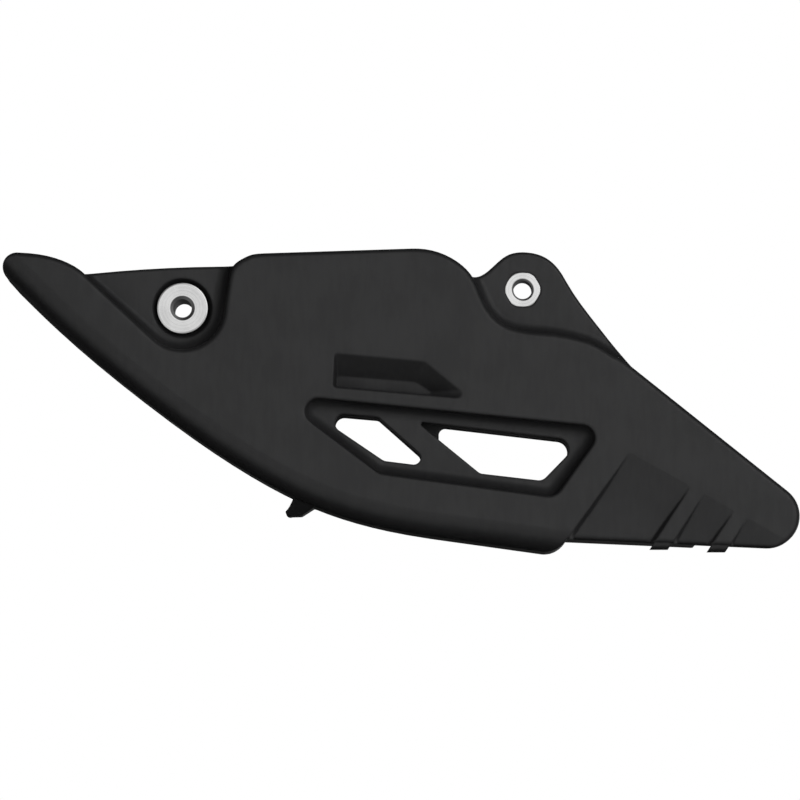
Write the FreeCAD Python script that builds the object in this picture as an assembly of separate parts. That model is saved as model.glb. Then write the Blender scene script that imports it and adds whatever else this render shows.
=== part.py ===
import FreeCAD, Part
import math
import os

os.makedirs("parts", exist_ok=True)
Vec = FreeCAD.Vector

# Frame: X to the rear of the bike, Y inboard, Z up, origin on the front bolt axis, sizes in mm

# Layers across the guide
channel_width = 22.0
near_wall = 9.2
far_wall = 4.0
ear_thick = 3.0
near_in = -channel_width / 2
near_out = near_in - near_wall
far_in = channel_width / 2
far_out = far_in + far_wall
ear_face = near_in - ear_thick

# Bolts and the two metal sleeves
bolt_bore_r = 3.3
bolt_spacing = 121.6
bolt_rise = 6.6
front_bolt = (0.0, 0.0)
rear_bolt = (bolt_spacing, bolt_rise)
flange_r = 9.0
flange_thick = 2.0
flange_room = 1.7
flange_groove = 5.0
tube_r = 5.0
front_stand_off = 1.0
hex_flats = 12.0
hex_corner_r = 6.4
rear_sleeve_length = 15.4
front_lead_in = 1.2
rear_lead_in = 0.8
sleeve_break = 0.4

# Bosses that hold the sleeves
front_head_r = 13.0
front_head_depth = 7.0
front_boss_r = 8.5
rear_boss_r = 10.0

# Edge rounding
skid_round = 8.5
edge_round = 1.7
far_round = 1.5
ear_foot_riser = 4.4
ear_foot_fin = 2.4
ear_foot_rear = 3.2
ear_edge = 1.0

# Outline from the front bolt
nose_centre = (-58.95, 14.4)
nose_r = 5.2
nose_foot_angle = 222.0
nose_top_angle = 88.0
fin_crest = [(-48.7, 18.5), (-41.5, 16.2)]
fin_end = (-35.0, 12.1)
front_pocket_r = 15.0
riser_lean = 8.0
riser_top = 9.5
hump_start = [(18.4, 15.0), (22.8, 18.0)]
hump_front = (29.5, 19.3)
front_ear_edge = [(-38.5, 11.7), (-9.0, 14.2), (22.5, 14.9)]
front_ear_root = [(26.0, 8.0), (20.0, -17.0), (0.0, -22.0), (-20.0, -12.0), (-38.0, 8.0)]
skid_front = [(24.2, -59.2), (-11.5, -34.6), (-47.2, -4.8), (-62.6, 10.3), (-80.0, 28.1)]

# Outline from the rear bolt
skid_rear = [(53.4, -99.9), (28.4, -96.6), (6.1, -93.6), (-18.9, -90.1), (-43.9, -86.3), (-72.4, -78.3)]
hump_rear = (-39.6, 14.4)
hump_fall = [(-26.4, 11.5), (-18.3, 4.7), (-14.2, -4.0), (-8.2, -11.8), (1.7, -15.1), (11.4, -16.0),
             (19.5, -17.6), (26.2, -20.0), (32.6, -23.9)]
tail_start = (39.9, -28.8)
tail_centre = (87.25, -81.15)
tail_r = 11.35
tail_foot_rise = 2.5
step_foot_x = 15.6
step_slope = 54.0
step_corner_r = 9.0
rear_ear_edge = [(-20.0, 5.0), (-15.2, 4.9), (-11.1, 7.8), (-4.9, 12.6), (1.5, 13.4), (8.0, 11.6),
                 (12.4, 7.9), (16.5, 1.4), (25.1, -10.8), (41.0, -30.3)]
rear_ear_root = [(34.0, -39.0), (-2.0, -29.0), (-22.0, -7.0)]

# Chain floor and its turned-down front lip, from the rear bolt
floor_line = [(-78.4, -69.2), (-61.6, -76.2), (-41.6, -81.0), (-16.6, -83.9), (18.4, -84.5)]
far_end = (61.4, -86.4)
far_end_lean = 8.0
lip_front = [(-81.4, -73.2), (-83.6, -77.6)]
lip_tip = [(-84.8, -79.0), (-84.2, -80.3), (-82.6, -80.5)]
lip_heel = [(-79.0, -80.4), (-74.6, -77.6), (-65.6, -79.6), (-73.6, -73.6)]
lip_bevel = 8.0

# Windows from the rear bolt: corner x, corner z, corner radius
recess_depth = 5.4
recess_foot = 4.3
recess_rim = 0.9
recess_corners = [(-88.4, -37.7, 4.5), (29.1, -49.6, 4.5), (11.4, -74.4, 5.5), (-51.2, -65.9, 6.0)]
front_window = [(-75.8, -43.5, 3.2), (-51.6, -45.6, 2.0), (-31.3, -63.6, 2.5), (-49.6, -61.3, 4.0)]
rear_window_tip = [(-38.2, -47.1, 0.8)]
rear_window_blunt = [(-29.9, -53.8, 1.6), (-29.9, -48.2, 2.3)]
rear_window = [(20.9, -54.1, 4.0), (7.0, -68.4, 3.5), (-15.3, -65.8, 3.0)]

# Vent pocket with a ramp down from its top edge, from the rear bolt
vent_depth = 5.5
vent_edge = 0.5
vent_rim = [(-67.0, -23.0, 1.0), (-34.9, -26.0, 3.0), (-18.5, -39.4, 1.5), (-67.6, -35.1, 1.0)]
vent_floor = [(-66.4, -30.9, 0.8), (-38.4, -33.1, 6.0), (-30.2, -38.0, 0.8), (-66.6, -34.8, 0.6)]

# Scooped tail with two ribs that run on below the edge as tabs, from the rear bolt
scoop_line = [(37.9, -58.4), (78.4, -81.1)]
scoop_depths = [(-12.0, -0.9), (0.0, 0.0), (5.0, 0.55), (12.0, 1.45), (22.0, 2.1), (60.0, 3.7)]
scoop_foot = 1.6
rib_feet = [(47.2, -89.9), (68.2, -89.9)]
rib_span_x = 6.5
rib_slope = 57.0
rib_draft = 32.0
rib_drop = 2.2
tab_root = 2.0
tab_set_back = 0.9
tab_round = 2.0

# How far cutting shapes and hidden joints run on past the part, and how near counts as touching
overrun = 60.0
overlap = 0.5
tolerance = 0.01
spline_type = "Part::GeomBSplineCurve"


def at(point, y):
    return Vec(point[0], y, point[1])


def line(a, b):
    return Part.makeLine(at(a, 0), at(b, 0))


def arc(a, middle, b):
    return Part.Arc(at(a, 0), at(middle, 0), at(b, 0)).toShape()


def curve(points, first=None, last=None):
    spline = Part.BSplineCurve()
    ends = {}
    if first:
        ends = {"InitialTangent": at(first, 0), "FinalTangent": at(last, 0)}
    spline.interpolate(Points=[at(p, 0) for p in points], **ends)
    return spline


def toward(point, degrees, length):
    a = math.radians(degrees)
    return (point[0] + length * math.cos(a), point[1] + length * math.sin(a))


def unit(a, b):
    d = math.dist(a, b)
    return ((b[0] - a[0]) / d, (b[1] - a[1]) / d)


def angle_of(direction):
    return math.degrees(math.atan2(direction[1], direction[0]))


def tangent_point(point, centre, r, turn):
    # Where a line from the point touches the circle, on the side that turn gives as 1 or -1
    away = math.degrees(math.acos(r / math.dist(point, centre)))
    return toward(centre, angle_of(unit(centre, point)) + turn * away, r)


def slab(wire, y0, y1):
    face = Part.Face(wire)
    face.translate(Vec(0, y0, 0))
    return face.extrude(Vec(0, y1 - y0, 0))


def polygon(points):
    return Part.makePolygon([at(p, 0) for p in points + points[:1]])


def rounded(corners):
    # Closed outline with each corner replaced by a tangent arc
    starts = []
    bends = []
    ends = []
    for i, (x, z, r) in enumerate(corners):
        before = unit((x, z), corners[i - 1][:2])
        after = unit((x, z), corners[(i + 1) % len(corners)][:2])
        half = math.acos(before[0] * after[0] + before[1] * after[1]) / 2
        run = r / math.tan(half)
        depth = r / math.sin(half) - r
        inward = unit((0, 0), (before[0] + after[0], before[1] + after[1]))
        starts.append((x + before[0] * run, z + before[1] * run))
        bends.append((x + inward[0] * depth, z + inward[1] * depth))
        ends.append((x + after[0] * run, z + after[1] * run))
    edges = []
    for i in range(len(corners)):
        edges.append(line(ends[i - 1], starts[i]))
        edges.append(arc(starts[i], bends[i], ends[i]))
    return Part.Wire(edges)


def rod(centre, r, y0, y1):
    return Part.makeCylinder(r, y1 - y0, at(centre, y0), Vec(0, 1, 0))


def turned(centre, profile):
    # Solid of revolution about a bolt axis, from points of radius and y
    points = [Vec(centre[0] + r, y, centre[1]) for r, y in profile]
    face = Part.Face(Part.makePolygon(points + points[:1]))
    return face.revolve(at(centre, 0), Vec(0, 1, 0), 360)


def fillet(shape, edge_radii):
    # Rounds edges, each with a radius of its own at its two ends
    doc = FreeCAD.newDocument("rounding")
    base = doc.addObject("Part::Feature", "base")
    base.Shape = shape
    feature = doc.addObject("Part::Fillet", "fillet")
    feature.Base = base
    feature.Edges = edge_radii
    doc.recompute()
    result = feature.Shape.copy()
    FreeCAD.closeDocument(doc.Name)
    return result


def flat_edges(shape, y):
    # Edges that lie in the plane at y, with their numbers
    found = []
    for number, edge in enumerate(shape.Edges, 1):
        box = edge.BoundBox
        if abs(box.YMin - y) < tolerance and abs(box.YMax - y) < tolerance:
            found.append((number, edge))
    return found


def middle_of(edge):
    return edge.valueAt((edge.FirstParameter + edge.LastParameter) / 2)


def round_edges(shape, y, outline, r):
    # Rounds the edges in the plane at y that run along an outline
    jobs = []
    for number, edge in flat_edges(shape, y):
        spot = middle_of(edge) - Vec(0, y, 0)
        if outline.distToShape(Part.Vertex(spot))[0] < tolerance:
            jobs.append((number, r, r))
    return fillet(shape, jobs)


def behind(point):
    # Point that is given from the rear bolt, with its radius if it has one
    return (rear_bolt[0] + point[0], rear_bolt[1] + point[1]) + tuple(point[2:])


def behind_all(points):
    return [behind(p) for p in points]


def joined(points):
    return [line(a, b) for a, b in zip(points, points[1:])]


lower_edge = behind_all(skid_rear) + skid_front
nose_top = toward(nose_centre, nose_top_angle, nose_r)
hump_last = behind(hump_rear)
tail_first = behind(tail_start)
tail_middle = behind(tail_centre)
tail_turn = tangent_point(tail_first, tail_middle, tail_r, -1)
tail_foot = toward(tail_middle, 270 - tail_foot_rise, tail_r)
tail_end = tail_middle[0] + tail_r
foot_slope = math.tan(math.radians(tail_foot_rise))
lowest = lower_edge[0][1] - overrun / 4
highest = overrun


def foot_at(x):
    # Point of the tail's straight lower edge
    return (x, tail_foot[1] + (tail_foot[0] - x) * foot_slope)


step_foot = foot_at(rear_bolt[0] + step_foot_x)


def hump_to_tail():
    # Curve from the hump down round the rear ear and along to the tail
    points = [hump_last] + behind_all(hump_fall) + [tail_first]
    return curve(points, unit(hump_front, hump_last), unit(tail_first, tail_turn)).toShape()


def raised_outline():
    # Edges of the raised outer face from the nose over the top to the tail, which are all tangent
    nose_foot = toward(nose_centre, nose_foot_angle, nose_r)
    nose_front = toward(nose_centre, (nose_foot_angle + nose_top_angle) / 2, nose_r)
    pocket_in = tangent_point(fin_end, front_bolt, front_pocket_r, 1)
    pocket_low = toward(front_bolt, (angle_of(pocket_in) - riser_lean) / 2, front_pocket_r)
    pocket_out = toward(front_bolt, -riser_lean, front_pocket_r)
    rise = (riser_top - pocket_out[1]) / math.cos(math.radians(riser_lean))
    riser_end = toward(pocket_out, 90 - riser_lean, rise)
    fin = curve([nose_top] + fin_crest + [fin_end], toward((0, 0), nose_top_angle - 90, 1),
                unit(fin_end, pocket_in))
    hump = curve([riser_end] + hump_start + [hump_front], unit(pocket_out, riser_end),
                 unit(hump_front, hump_last))
    return [
        line(toward(nose_foot, nose_foot_angle + 90, 2 * overrun), nose_foot),
        arc(nose_foot, nose_front, nose_top),
        fin.toShape(),
        line(fin_end, pocket_in),
        arc(pocket_in, pocket_low, pocket_out),
        line(pocket_out, riser_end),
        hump.toShape(),
        line(hump_front, hump_last),
        hump_to_tail(),
        line(tail_first, tail_turn),
        arc(tail_turn, toward(tail_middle, 0, tail_r), tail_foot),
        line(tail_foot, step_foot),
    ]


def skid_block(y0, y1, outer_y, r):
    # Everything above the lower edge, with that edge rounded on its outer side
    right = lower_edge[0][0] + overrun
    above = [lower_edge[-1], (lower_edge[-1][0], highest), (right, highest), (right, lower_edge[0][1]),
             lower_edge[0]]
    block = slab(Part.Wire([curve(lower_edge).toShape()] + joined(above)), y0, y1)
    if not r:
        return block
    rim = [number for number, edge in flat_edges(block, outer_y) if edge.Curve.TypeId == spline_type]
    return fillet(block, [(number, r, r) for number in rim])


def wall(y0, y1, outer_y, skid_r, rim_r):
    # One side wall: the outline with a rounded rim, trimmed by the skid
    edges = raised_outline()
    first = edges[0].valueAt(edges[0].FirstParameter)
    block = slab(Part.Wire(edges + joined([step_foot, (step_foot[0], lowest), (first.x, first.z)])), y0, y1)
    jobs = []
    for edge in edges:
        spot = middle_of(edge) + Vec(0, outer_y, 0)
        near_edge = min(flat_edges(block, outer_y), key=lambda item: (middle_of(item[1]) - spot).Length)
        jobs.append((near_edge[0], rim_r, rim_r))
    return fillet(block, jobs).common(skid_block(y0, y1, outer_y, skid_r))


def below_tail():
    # What lies under the tail's lower edge, behind the step at the end of the skid and its round corner
    skid = curve(lower_edge)
    step = line(toward(step_foot, step_slope + 180, overrun / 2), step_foot)
    meet = step.distToShape(skid.toShape())[1][0][0]
    along = skid.tangent(skid.parameter(meet))[0]
    corner = (meet.x, meet.z)
    back = angle_of((along.x, along.z)) % 360
    half = math.radians(back - step_slope) / 2
    run = step_corner_r / math.tan(half)
    bend = toward(corner, (back + step_slope) / 2, step_corner_r / math.sin(half) - step_corner_r)
    start = toward(corner, back, run)
    far_right = tail_end + overrun
    under = [toward(corner, step_slope, run), step_foot, foot_at(far_right), (far_right, lowest),
             (start[0], lowest), start]
    return Part.Wire([arc(start, bend, under[0])] + joined(under))


def ear_foot_at(x):
    # Radius of the hollow curve along an ear's foot, which widens from the fin to the riser
    if x > hump_front[0]:
        return ear_foot_rear
    share = max(0, min(1, (x - fin_end[0]) / (front_pocket_r - fin_end[0])))
    return ear_foot_fin + (ear_foot_riser - ear_foot_fin) * share


def ear_plate(free, root, walls, over):
    # Ear behind the raised face, with a hollow curve along that face and a rounded free edge
    plate = slab(Part.Wire([free] + joined(root)), ear_face - ear_foot_riser, near_in)
    space = slab(Part.Wire(walls + joined(over)), near_out - overrun, ear_face)
    foot = Part.Wire(walls)
    jobs = []
    for number, edge in flat_edges(space, ear_face):
        if foot.distToShape(Part.Vertex(middle_of(edge) - Vec(0, ear_face, 0)))[0] < tolerance:
            ends = [edge.valueAt(u).x for u in (edge.FirstParameter, edge.LastParameter)]
            jobs.append((number, ear_foot_at(ends[0]), ear_foot_at(ends[1])))
    return round_edges(plate.cut(fillet(space, jobs)), ear_face, free, ear_edge)


def front_ears():
    # Near ear round the front bolt and its plain twin on the far wall
    free = arc(*front_ear_edge)
    root = front_ear_edge[-1:] + front_ear_root + front_ear_edge[:1]
    over = [hump_front, (hump_front[0], highest), (nose_top[0], highest), nose_top]
    twin = slab(Part.Wire([free] + joined(root)), far_in, far_out)
    return [ear_plate(free, root, raised_outline()[2:7], over), round_edges(twin, far_out, free, ear_edge)]


def rear_ear():
    points = behind_all(rear_ear_edge)
    root = points[-1:] + behind_all(rear_ear_root) + points[:1]
    over = [tail_turn, (tail_turn[0], highest), (hump_last[0], highest), hump_last]
    return ear_plate(curve(points).toShape(), root, [hump_to_tail(), line(tail_first, tail_turn)], over)


def floor_and_lip():
    # Floor that joins the two walls, with its front end turned down
    y0, y1 = near_in - overlap, far_in + overlap
    top = behind_all(floor_line + [far_end])
    front = behind_all(lip_front)
    deep = [top[-1], (top[-1][0], lowest), (front[0][0], lowest), front[0], top[0]]
    floor = slab(Part.Wire([curve(top).toShape()] + joined(deep)), y0, y1).common(skid_block(y0, y1, None, 0))
    tip = behind_all(lip_tip)
    turned_down = [curve([top[0]] + front + tip[:1]).toShape(), arc(*tip)]
    heel = joined([tip[2]] + behind_all(lip_heel) + [top[0]])
    high, low = behind(lip_heel[-1])[1], tip[2][1] - overlap
    left = front[0][0] - overrun
    bevel = Part.Face(Part.makePolygon([Vec(left, y, z) for y, z in (
        (y0, high), (y0 + lip_bevel, low), (y0, low), (y0, high))])).extrude(Vec(2 * overrun, 0, 0))
    return floor.fuse(slab(Part.Wire(turned_down + heel), y0, y1).cut(bevel))


def far_tail():
    # The far wall stops short of the tail
    end = behind(far_end)
    right = tail_end + overrun
    return polygon([toward(end, 90 + far_end_lean, 2 * overrun), end, (end[0], lowest), (right, lowest),
                    (right, highest)])


def tail_core():
    # What the tail pockets leave: all that lies behind the scoop, with its lower edge rounded
    line_start, line_end = behind_all(scoop_line)
    run = unit(line_start, line_end)
    start = toward(line_start, angle_of(run), -overrun)

    def below_line(down, depth):
        return Vec(start[0] + run[1] * down, near_out + depth, start[1] - run[0] * down)

    scoop = Part.BSplineCurve()
    scoop.interpolate([below_line(*p) for p in scoop_depths])
    front = [below_line(scoop_depths[k][0], -overrun) for k in (-1, 0)]
    corners = [scoop.EndPoint] + front + [scoop.StartPoint]
    sides = [Part.makeLine(a, b) for a, b in zip(corners, corners[1:])]
    length = math.dist(start, line_end) + overrun
    air = Part.Face(Part.Wire([scoop.toShape()] + sides)).extrude(Vec(run[0] * length, 0, run[1] * length))
    left, right = rear_bolt[0], tail_end + overlap
    top = step_foot[1] + overrun
    block = polygon([foot_at(left), foot_at(right), (right, top), (left, top)])
    core = slab(block, near_out - overlap, near_in).cut(air)
    jobs = []
    for number, edge in enumerate(core.Edges, 1):
        ends = [vertex.Point for vertex in edge.Vertexes]
        low = all(abs(p.z - foot_at(p.x)[1]) < tolerance and p.y < near_in - tolerance for p in ends)
        if low and edge.Curve.TypeId == spline_type:
            jobs.append((number, scoop_foot, scoop_foot))
    return fillet(core, jobs)


def slanted(foot, slope, z, depth, side):
    # Point of a leaning pocket side at a height, moved in by its draft at a depth
    lean = (z - foot[1]) / math.tan(math.radians(slope))
    draft = depth * math.tan(math.radians(rib_draft)) / math.sin(math.radians(slope))
    return (foot[0] + lean + side * draft, z)


def tail_pockets():
    # Shallow pockets between the step and the ribs, with drafted sides, running out to nothing at their top
    core = tail_core()
    ribs = behind_all(rib_feet)
    lefts = [(step_foot, step_slope)] + [((x + rib_span_x, z), rib_slope) for x, z in ribs]
    rights = [(foot, rib_slope) for foot in ribs] + [((tail_end + overrun, step_foot[1]), rib_slope)]
    high = step_foot[1] + overrun
    pockets = []
    for left, right in zip(lefts, rights):
        rims = []
        for y in (near_out - overlap, near_in):
            depth = y - near_out
            rim = polygon([slanted(*left, lowest, depth, 1), slanted(*left, high, depth, 1),
                           slanted(*right, high, depth, -1), slanted(*right, lowest, depth, -1)])
            rim.translate(Vec(0, y, 0))
            rims.append(rim)
        pockets.append(Part.makeLoft(rims, True, True).cut(core))
    return pockets


def rib_tabs():
    # Lower ends of the ribs, which run on across the underside
    tabs = []
    front = near_out + tab_set_back
    for foot in behind_all(rib_feet):
        z0 = foot_at(foot[0])[1] + tab_root
        z1 = foot_at(foot[0])[1] - rib_drop
        left = [slanted(foot, rib_slope, z, 0, 1) for z in (z0, z1)]
        right = [(x + rib_span_x, z) for x, z in left]
        tab = slab(polygon([left[0], right[0], right[1], left[1]]), front, near_in)
        tabs.append(round_edges(tab, front, Part.Wire([line(left[1], right[1])]), tab_round))
    return tabs


def vent():
    rim = rounded(behind_all(vent_rim))
    rim.translate(Vec(0, near_out, 0))
    floor = rounded(behind_all(vent_floor))
    floor.translate(Vec(0, near_out + vent_depth, 0))
    return Part.makeLoft([rim, floor], True, True)


def recess():
    bottom = near_out + recess_depth
    block = slab(rounded(behind_all(recess_corners)), near_out - recess_depth, bottom)
    return fillet(block, [(number, recess_foot, recess_foot) for number, edge in flat_edges(block, bottom)])


def windows():
    near_rear = behind_all(rear_window_tip + rear_window)
    far_rear = behind_all(rear_window_blunt[1:] + rear_window + rear_window_blunt[:1])
    cuts = []
    for y0, y1, rear in ((near_out, near_in, near_rear), (far_in, far_out, far_rear)):
        for corners in (behind_all(front_window), rear):
            cuts.append(slab(rounded(corners), y0 - overlap, y1 + overlap))
    return cuts


def hexagon(y0, y1):
    # Hexagon round the rear bolt with its corners turned off
    corners = [toward(rear_bolt, 60 * k, hex_flats / math.sqrt(3)) for k in range(6)]
    return slab(polygon(corners), y0, y1).common(rod(rear_bolt, hex_corner_r, y0, y1))


def flange_seat():
    # Room for the flange, with a tapered groove round it
    outer = flange_r + flange_room
    seat = ear_face + flange_thick
    return turned(front_bolt, [(0, ear_face - overlap), (outer, ear_face - overlap), (outer, ear_face),
                               (flange_r, ear_face + flange_groove), (flange_r, seat), (0, seat)])


def guide_body():
    near = wall(near_out, near_in, near_out, skid_round, edge_round)
    far = wall(far_in, far_out, far_out, far_round, far_round)
    far = far.cut(slab(far_tail(), far_in - overlap, far_out + overlap))
    body = near.fuse([far] + front_ears() + [rear_ear(), floor_and_lip()])
    body = body.cut(slab(below_tail(), near_out - overlap, far_out + overlap))
    body = body.fuse([rod(front_bolt, front_head_r, ear_face, ear_face + front_head_depth),
                      rod(front_bolt, front_boss_r, near_in - overlap, far_out),
                      rod(rear_bolt, rear_boss_r, ear_face, ear_face + rear_sleeve_length)])
    body = body.removeSplitter()
    body = body.cut(tail_pockets()).fuse(rib_tabs())
    body = body.cut([recess(), vent()] + windows() + [
        flange_seat(),
        rod(front_bolt, tube_r, ear_face, far_out + overlap),
        hexagon(ear_face - overlap, ear_face + rear_sleeve_length + overlap)])
    body = round_edges(body, near_out, rounded(behind_all(recess_corners)), recess_rim)
    body = round_edges(body, near_out, rounded(behind_all(vent_rim)), vent_edge)
    return body


def front_sleeve():
    # Turned sleeve with a flange on the outer side
    back = far_out + front_stand_off
    seat = ear_face + flange_thick
    return turned(front_bolt, [
        (bolt_bore_r, ear_face + front_lead_in), (bolt_bore_r + front_lead_in, ear_face),
        (flange_r - sleeve_break, ear_face), (flange_r, ear_face + sleeve_break), (flange_r, seat),
        (tube_r, seat), (tube_r, back - sleeve_break), (tube_r - sleeve_break, back),
        (bolt_bore_r + sleeve_break, back), (bolt_bore_r, back - sleeve_break)])


def rear_sleeve():
    # Hexagon sleeve with both ends broken all round
    back = ear_face + rear_sleeve_length
    face_r = hex_flats / 2
    shape = turned(rear_bolt, [
        (bolt_bore_r, ear_face + rear_lead_in), (bolt_bore_r + rear_lead_in, ear_face), (face_r, ear_face),
        (hex_corner_r, ear_face + sleeve_break), (hex_corner_r, back - sleeve_break), (face_r, back),
        (bolt_bore_r + sleeve_break, back), (bolt_bore_r, back - sleeve_break)])
    return shape.common(hexagon(ear_face, back))


pieces = {"guide_body": guide_body(), "front_sleeve": front_sleeve(), "rear_sleeve": rear_sleeve()}
for name, shape in pieces.items():
    solid = shape.Solids[0]
    print(name, solid.isValid(), len(shape.Solids), round(solid.Volume, 1))
    solid.exportStep("parts/" + name + ".step")
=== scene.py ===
import bpy
import math
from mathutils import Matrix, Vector


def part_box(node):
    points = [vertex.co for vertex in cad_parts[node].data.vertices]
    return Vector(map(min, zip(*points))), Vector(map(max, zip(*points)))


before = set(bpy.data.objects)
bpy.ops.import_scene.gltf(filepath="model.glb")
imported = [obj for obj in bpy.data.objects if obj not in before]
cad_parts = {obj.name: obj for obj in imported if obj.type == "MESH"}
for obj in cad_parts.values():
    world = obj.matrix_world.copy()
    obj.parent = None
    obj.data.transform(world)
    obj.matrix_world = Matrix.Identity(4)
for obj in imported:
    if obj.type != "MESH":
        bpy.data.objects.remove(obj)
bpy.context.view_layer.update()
scene = bpy.context.scene
scene.view_settings.view_transform = "Standard"
bpy.ops.object.select_all(action="DESELECT")
print("frame loaded:", sorted(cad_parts))


def newGroup(name, inputs, outputs):
    group = bpy.data.node_groups.new(name, "ShaderNodeTree")
    for socketName, kind, value in inputs:
        socket = group.interface.new_socket(socketName, in_out="INPUT", socket_type=kind)
        socket.default_value = value
    for socketName, kind in outputs:
        group.interface.new_socket(socketName, in_out="OUTPUT", socket_type=kind)
    return group, group.nodes.new("NodeGroupInput"), group.nodes.new("NodeGroupOutput")


def noise(tree, vector, scale, detail, rough):
    node = tree.nodes.new("ShaderNodeTexNoise")
    node.inputs["Detail"].default_value = detail
    node.inputs["Roughness"].default_value = rough
    tree.links.new(vector, node.inputs["Vector"])
    if isinstance(scale, (int, float)):
        node.inputs["Scale"].default_value = scale
    else:
        tree.links.new(scale, node.inputs["Scale"])
    return node.outputs["Fac"]


def ramp(tree, value, low, high, outLow=0.0, outHigh=1.0):
    node = tree.nodes.new("ShaderNodeMapRange")
    node.interpolation_type = "SMOOTHSTEP"
    node.inputs["From Min"].default_value = low
    node.inputs["From Max"].default_value = high
    node.inputs["To Min"].default_value = outLow
    node.inputs["To Max"].default_value = outHigh
    tree.links.new(value, node.inputs["Value"])
    return node.outputs["Result"]


def math2(tree, operation, a, b):
    node = tree.nodes.new("ShaderNodeMath")
    node.operation = operation
    for socket, value in zip(node.inputs, (a, b)):
        if isinstance(value, (int, float)):
            socket.default_value = value
        else:
            tree.links.new(value, socket)
    return node.outputs[0]


def mixColour(tree, fac, a, b):
    node = tree.nodes.new("ShaderNodeMix")
    node.data_type = "RGBA"
    for socket, value in ((node.inputs[0], fac), (node.inputs[6], a), (node.inputs[7], b)):
        if isinstance(value, (int, float, tuple)):
            socket.default_value = value
        else:
            tree.links.new(value, socket)
    return node.outputs[2]


# edge wear: where a rounded normal leaves the true one, broken up by noise
def makeEdgeWear():
    group, into, out = newGroup("edgeWear", [("Vector", "NodeSocketVector", (0, 0, 0)),
                                             ("Width", "NodeSocketFloat", 0.0006),
                                             ("Breakup", "NodeSocketFloat", 400.0)],
                                [("Mask", "NodeSocketFloat")])
    bevel = group.nodes.new("ShaderNodeBevel")
    bevel.samples = 6
    group.links.new(into.outputs["Width"], bevel.inputs["Radius"])
    geometry = group.nodes.new("ShaderNodeNewGeometry")
    dot = group.nodes.new("ShaderNodeVectorMath")
    dot.operation = "DOT_PRODUCT"
    group.links.new(bevel.outputs["Normal"], dot.inputs[0])
    group.links.new(geometry.outputs["Normal"], dot.inputs[1])
    edge = ramp(group, dot.outputs["Value"], 0.995, 0.90)
    blotches = noise(group, into.outputs["Vector"], into.outputs["Breakup"], 3, 0.6)
    patches = ramp(group, blotches, 0.42, 0.62)
    group.links.new(math2(group, "MULTIPLY", edge, patches), out.inputs["Mask"])
    return group


streakStretch = (1, 1, 0.22)  # longer along z, so the streaks stand upright


# fine moulded grain, broad mottling and faint upright flow streaks
def makeMouldGrain():
    group, into, out = newGroup("mouldGrain", [("Vector", "NodeSocketVector", (0, 0, 0)),
                                               ("Grain", "NodeSocketFloat", 2200.0),
                                               ("Mottle", "NodeSocketFloat", 45.0),
                                               ("Streak", "NodeSocketFloat", 400.0)],
                                [("Grain", "NodeSocketFloat"), ("Mottle", "NodeSocketFloat"),
                                 ("Streak", "NodeSocketFloat")])
    fine = noise(group, into.outputs["Vector"], into.outputs["Grain"], 3, 0.6)
    broad = noise(group, into.outputs["Vector"], into.outputs["Mottle"], 4, 0.55)
    group.links.new(fine, out.inputs["Grain"])
    group.links.new(broad, out.inputs["Mottle"])
    stretch = group.nodes.new("ShaderNodeVectorMath")
    stretch.operation = "MULTIPLY"
    stretch.inputs[1].default_value = streakStretch
    group.links.new(into.outputs["Vector"], stretch.inputs[0])
    streak = noise(group, stretch.outputs["Vector"], into.outputs["Streak"], 3, 0.55)
    group.links.new(streak, out.inputs["Streak"])
    return group


edgeWear = makeEdgeWear()
mouldGrain = makeMouldGrain()


def useGroup(tree, group, vector, values):
    node = tree.nodes.new("ShaderNodeGroup")
    node.node_tree = group
    tree.links.new(vector, node.inputs["Vector"])
    for name, value in values.items():
        node.inputs[name].default_value = value
    return node.outputs


def startMaterial(name):
    material = bpy.data.materials.new(name)
    material.use_nodes = True
    tree = material.node_tree
    shader = tree.nodes["Principled BSDF"]
    place = tree.nodes.new("ShaderNodeTexCoord").outputs["Object"]
    return material, tree, shader, place


bodyLook = {
    "colour": (0.0128, 0.0128, 0.0132, 1),
    "lightPatch": (0.0156, 0.0156, 0.0160, 1),
    "worn": (0.04, 0.04, 0.0405, 1),
    "patchRange": (0.78, 1.22),
    "roughLow": 0.275, "roughHigh": 0.335,
    "specular": 0.40, "softEdge": 0.0012,
    "shelterReach": 0.013, "shelterRange": (0.95, 0.45), "shelterRough": 0.32,
    "grain": 2200.0, "mottle": 60.0, "streak": 560.0,
    "bump": 0.12, "bumpHeight": 0.00008,
    "wearWidth": 0.0005, "wearBreakup": 350.0, "wearShare": 0.35,
}


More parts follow.
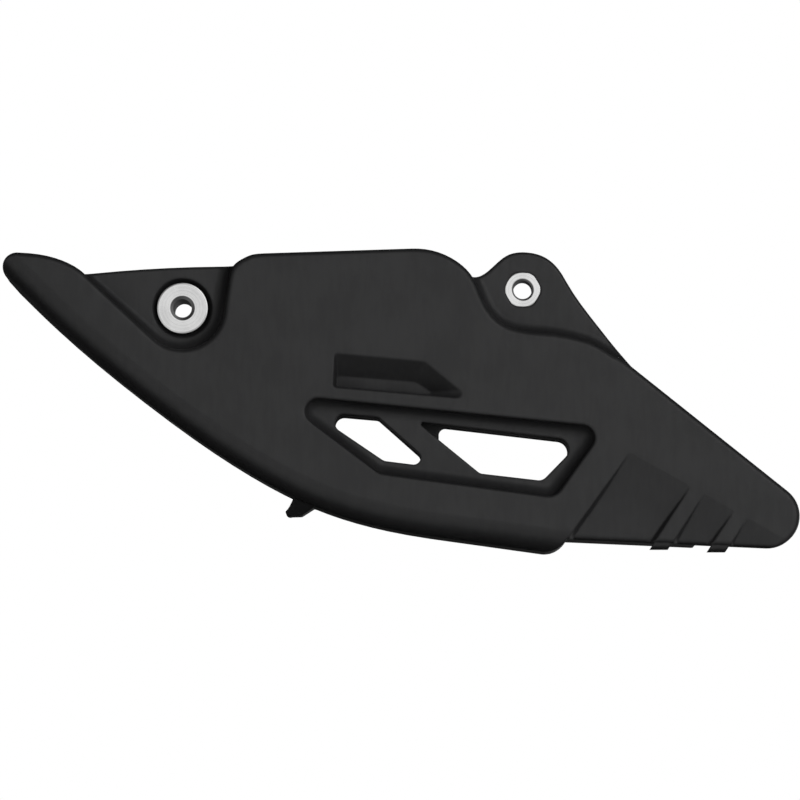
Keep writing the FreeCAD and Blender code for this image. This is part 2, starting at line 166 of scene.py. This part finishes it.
def mouldedPlastic(look):
    material, tree, shader, place = startMaterial("mouldedPlastic")
    grain = useGroup(tree, mouldGrain, place, {"Grain": look["grain"], "Mottle": look["mottle"],
                                              "Streak": look["streak"]})
    wear = useGroup(tree, edgeWear, place, {"Width": look["wearWidth"], "Breakup": look["wearBreakup"]})
    uneven = math2(tree, "ADD", grain["Mottle"], grain["Streak"])
    patch = ramp(tree, uneven, *look["patchRange"])
    colour = mixColour(tree, patch, look["colour"], look["lightPatch"])
    worn = math2(tree, "MULTIPLY", wear["Mask"], look["wearShare"])
    colour = mixColour(tree, worn, colour, look["worn"])
    tree.links.new(colour, shader.inputs["Base Color"])
    rough = ramp(tree, uneven, *look["patchRange"], look["roughHigh"], look["roughLow"])
    # corners and hollows are duller
    shelter = tree.nodes.new("ShaderNodeAmbientOcclusion")
    shelter.samples = 8
    shelter.inputs["Distance"].default_value = look["shelterReach"]
    dull = ramp(tree, shelter.outputs["AO"], *look["shelterRange"], 0.0, look["shelterRough"])
    tree.links.new(math2(tree, "ADD", rough, dull), shader.inputs["Roughness"])
    bump = tree.nodes.new("ShaderNodeBump")
    bump.inputs["Strength"].default_value = look["bump"]
    bump.inputs["Distance"].default_value = look["bumpHeight"]
    tree.links.new(grain["Grain"], bump.inputs["Height"])
    soft = tree.nodes.new("ShaderNodeBevel")
    soft.samples = 8
    soft.inputs["Radius"].default_value = look["softEdge"]
    tree.links.new(soft.outputs["Normal"], bump.inputs["Normal"])
    tree.links.new(bump.outputs["Normal"], shader.inputs["Normal"])
    shader.inputs["Specular IOR Level"].default_value = look["specular"]
    return material


sleeveLook = {
    "colour": (0.95, 0.95, 0.945, 1), "dull": (0.78, 0.78, 0.78, 1),
    # the dark bore colour is painted shade, laid inside the bore opening and its break
    "paintedBoreShade": (0.13, 0.13, 0.13, 1), "boreSoft": 0.0001,
    "boreEdge": {"front_sleeve": 0.0044, "rear_sleeve": 0.0039},
    "chamferLay": (0.25, 1, 0.25),
    "mottle": 160.0, "patchRange": (0.16, 0.40),
    "rings": 3600.0, "ringRange": (0.3, 0.7), "ringBump": 0.08, "ringHeight": 0.00002,
    "roughLow": 0.13, "roughHigh": 0.24,
    "wearWidth": 0.0003, "wearBreakup": 900.0, "wearShare": 0.3,
}


# turned marks run round the bolt axis, so each sleeve gets its own centre
def turnedMetal(name, node, look):
    material, tree, shader, place = startMaterial(name)
    low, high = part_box(node)
    mapping = tree.nodes.new("ShaderNodeMapping")
    mapping.inputs["Location"].default_value = (-(low.x + high.x) / 2, 0, -(low.z + high.z) / 2)
    tree.links.new(place, mapping.inputs["Vector"])
    flat = tree.nodes.new("ShaderNodeVectorMath")
    flat.operation = "MULTIPLY"
    flat.inputs[1].default_value = (1, 0, 1)
    tree.links.new(mapping.outputs["Vector"], flat.inputs[0])
    length = tree.nodes.new("ShaderNodeVectorMath")
    length.operation = "LENGTH"
    tree.links.new(flat.outputs["Vector"], length.inputs[0])
    combine = tree.nodes.new("ShaderNodeCombineXYZ")
    tree.links.new(length.outputs["Value"], combine.inputs["X"])
    rings = noise(tree, combine.outputs["Vector"], look["rings"], 2, 0.5)
    grain = useGroup(tree, mouldGrain, place, {"Mottle": look["mottle"]})
    wear = useGroup(tree, edgeWear, place, {"Width": look["wearWidth"], "Breakup": look["wearBreakup"]})
    patch = ramp(tree, math2(tree, "MULTIPLY", grain["Mottle"], rings), *look["patchRange"])
    colour = mixColour(tree, patch, look["colour"], look["dull"])
    worn = math2(tree, "MULTIPLY", wear["Mask"], look["wearShare"])
    colour = mixColour(tree, worn, colour, look["dull"])
    # painted shade: inside the bore opening radius, the bore and its break go dark
    edge, soft = look["boreEdge"][node], look["boreSoft"]
    boreShadeMask = ramp(tree, length.outputs["Value"], edge + soft, edge - soft)
    colour = mixColour(tree, boreShadeMask, colour, look["paintedBoreShade"])
    tree.links.new(colour, shader.inputs["Base Color"])
    rough = ramp(tree, rings, *look["ringRange"], look["roughLow"], look["roughHigh"])
    tree.links.new(rough, shader.inputs["Roughness"])
    bump = tree.nodes.new("ShaderNodeBump")
    bump.inputs["Strength"].default_value = look["ringBump"]
    bump.inputs["Distance"].default_value = look["ringHeight"]
    tree.links.new(rings, bump.inputs["Height"])
    # chamfers catch the light of the end face, as a turned break does
    lay = tree.nodes.new("ShaderNodeVectorMath")
    lay.operation = "MULTIPLY"
    lay.inputs[1].default_value = look["chamferLay"]
    tree.links.new(tree.nodes.new("ShaderNodeNewGeometry").outputs["Normal"], lay.inputs[0])
    unit = tree.nodes.new("ShaderNodeVectorMath")
    unit.operation = "NORMALIZE"
    tree.links.new(lay.outputs["Vector"], unit.inputs[0])
    tree.links.new(unit.outputs["Vector"], bump.inputs["Normal"])
    tree.links.new(bump.outputs["Normal"], shader.inputs["Normal"])
    shader.inputs["Metallic"].default_value = 1.0
    return material


def dress(node, material):
    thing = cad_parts[node]
    thing.data.materials.clear()
    thing.data.materials.append(material)


dress("guide_body", mouldedPlastic(bodyLook))
dress("front_sleeve", turnedMetal("turnedFrontSleeve", "front_sleeve", sleeveLook))
dress("rear_sleeve", turnedMetal("turnedRearSleeve", "rear_sleeve", sleeveLook))
print("materials on body and sleeves")


# pale floor well below the part, see-through from underneath
floorLook = {
    "place": (0.08, 0, -0.30), "size": 6.0,
    "colour": (0.48, 0.48, 0.48, 1), "rough": 0.9, "seenGlow": 0.52,
}


def makeFloor(look):
    bpy.ops.mesh.primitive_plane_add(size=look["size"], location=look["place"])
    floor = bpy.context.object
    floor.name = "studioFloor"
    material = bpy.data.materials.new("paleFloor")
    material.use_nodes = True
    tree = material.node_tree
    shader = tree.nodes["Principled BSDF"]
    shader.inputs["Base Color"].default_value = look["colour"]
    shader.inputs["Roughness"].default_value = look["rough"]
    shader.inputs["Specular IOR Level"].default_value = 0.0
    glow = tree.nodes.new("ShaderNodeEmission")
    path = tree.nodes.new("ShaderNodeLightPath")
    seen = math2(tree, "MULTIPLY", path.outputs["Is Camera Ray"], look["seenGlow"])
    tree.links.new(seen, glow.inputs["Strength"])
    pale = tree.nodes.new("ShaderNodeAddShader")
    tree.links.new(shader.outputs["BSDF"], pale.inputs[0])
    tree.links.new(glow.outputs["Emission"], pale.inputs[1])
    clear = tree.nodes.new("ShaderNodeBsdfTransparent")
    side = tree.nodes.new("ShaderNodeNewGeometry").outputs["Backfacing"]
    mix = tree.nodes.new("ShaderNodeMixShader")
    tree.links.new(side, mix.inputs["Fac"])
    tree.links.new(pale.outputs["Shader"], mix.inputs[1])
    tree.links.new(clear.outputs["BSDF"], mix.inputs[2])
    tree.links.new(mix.outputs["Shader"], tree.nodes["Material Output"].inputs["Surface"])
    floor.data.materials.append(material)
    floor.visible_glossy = False


makeFloor(floorLook)

# soft light from the front, a nearer lamp at the upper right, and one behind for the far side
lampTarget = (0.08, 0, -0.03)
lampLook = {
    "key": {"place": (0.85, -0.9, 0.36), "size": 0.8, "power": 11.0},
    "front": {"place": (-0.25, -3.3, -0.10), "size": 1.6, "power": 30.0},
    "back": {"place": (0.3, 2.6, 1.4), "size": 1.6, "power": 56.0},
}


def makeLamps(look, target):
    for name, lamp in look.items():
        bpy.ops.object.light_add(type="AREA", location=lamp["place"])
        light = bpy.context.object
        light.name = name + "Lamp"
        light.data.shape = "DISK"
        light.data.size = lamp["size"]
        light.data.energy = lamp["power"]
        light.visible_glossy = False
        light.rotation_euler = (target - Vector(lamp["place"])).to_track_quat("-Z", "Y").to_euler()


makeLamps(lampLook, Vector(lampTarget))

# white to the camera; reflections see soft white cards, brightest in front,
# each fading out at its edge, in degrees from its side
worldLook = {
    "ambient": 0.10, "white": 1.0,
    "cards": (
        {"side": (0.0, -1.0, 0.0), "edge": 110.0, "level": 0.20},
        {"side": (-0.50, -1.0, -0.48), "edge": 52.0, "level": 0.50},
        {"side": (0.30, -1.0, 0.24), "edge": 33.0, "level": 1.24},
        {"side": (0.60, -0.7, -0.42), "edge": 36.0, "level": 0.35},
        {"side": (0.90, 0.8, -0.20), "edge": 50.0, "level": 0.70},
        {"side": (-0.75, 0.65, -0.10), "edge": 30.0, "level": 0.50},
        {"side": (0.10, 1.0, 0.10), "edge": 40.0, "level": 0.04},
    ),
}


def makeWorld(look):
    world = bpy.data.worlds.new("paleStudio")
    world.use_nodes = True
    tree = world.node_tree
    dim = tree.nodes["Background"]
    dim.inputs["Color"].default_value = (1, 1, 1, 1)
    dim.inputs["Strength"].default_value = look["ambient"]
    white = tree.nodes.new("ShaderNodeBackground")
    white.inputs["Color"].default_value = (1, 1, 1, 1)
    white.inputs["Strength"].default_value = look["white"]
    direction = tree.nodes.new("ShaderNodeTexCoord").outputs["Generated"]
    cards = 0.0
    for card in look["cards"]:
        facing = tree.nodes.new("ShaderNodeVectorMath")
        facing.operation = "DOT_PRODUCT"
        tree.links.new(direction, facing.inputs[0])
        facing.inputs[1].default_value = Vector(card["side"]).normalized()
        angle = math2(tree, "ARCCOSINE", facing.outputs["Value"], 0.0)
        fade = ramp(tree, angle, math.radians(card["edge"]), 0.0, 0.0, card["level"])
        cards = math2(tree, "ADD", fade, cards)
    path = tree.nodes.new("ShaderNodeLightPath")
    seen = math2(tree, "MAXIMUM", path.outputs["Is Camera Ray"], path.outputs["Is Transmission Ray"])
    seen = math2(tree, "MAXIMUM", seen, math2(tree, "MULTIPLY", path.outputs["Is Glossy Ray"], cards))
    # past the cards, reflections stay dark
    unlit = tree.nodes.new("ShaderNodeMixShader")
    tree.links.new(path.outputs["Is Glossy Ray"], unlit.inputs["Fac"])
    tree.links.new(dim.outputs["Background"], unlit.inputs[1])
    mix = tree.nodes.new("ShaderNodeMixShader")
    tree.links.new(seen, mix.inputs["Fac"])
    tree.links.new(unlit.outputs["Shader"], mix.inputs[1])
    tree.links.new(white.outputs["Background"], mix.inputs[2])
    tree.links.new(mix.outputs["Shader"], tree.nodes["World Output"].inputs["Surface"])
    scene.world = world


makeWorld(worldLook)

# a long lens, a little below the part
cameraLook = {
    "aim": (0.07775, -0.014, -0.0329), "elevation": -3.1, "distance": 3.0,
    "lens": 378.0, "sensor": 36.0, "farthest": 50.0,
}


def makeCamera(look):
    tilt = math.radians(look["elevation"])
    back = Vector((0, -math.cos(tilt), math.sin(tilt))) * look["distance"]
    bpy.ops.object.camera_add(location=Vector(look["aim"]) + back)
    camera = bpy.context.object
    camera.rotation_euler = (math.radians(90) - tilt, 0, 0)
    camera.data.lens = look["lens"]
    camera.data.sensor_width = look["sensor"]
    camera.data.clip_end = look["farthest"]
    scene.camera = camera


makeCamera(cameraLook)
print("floor, lamps, world and camera")
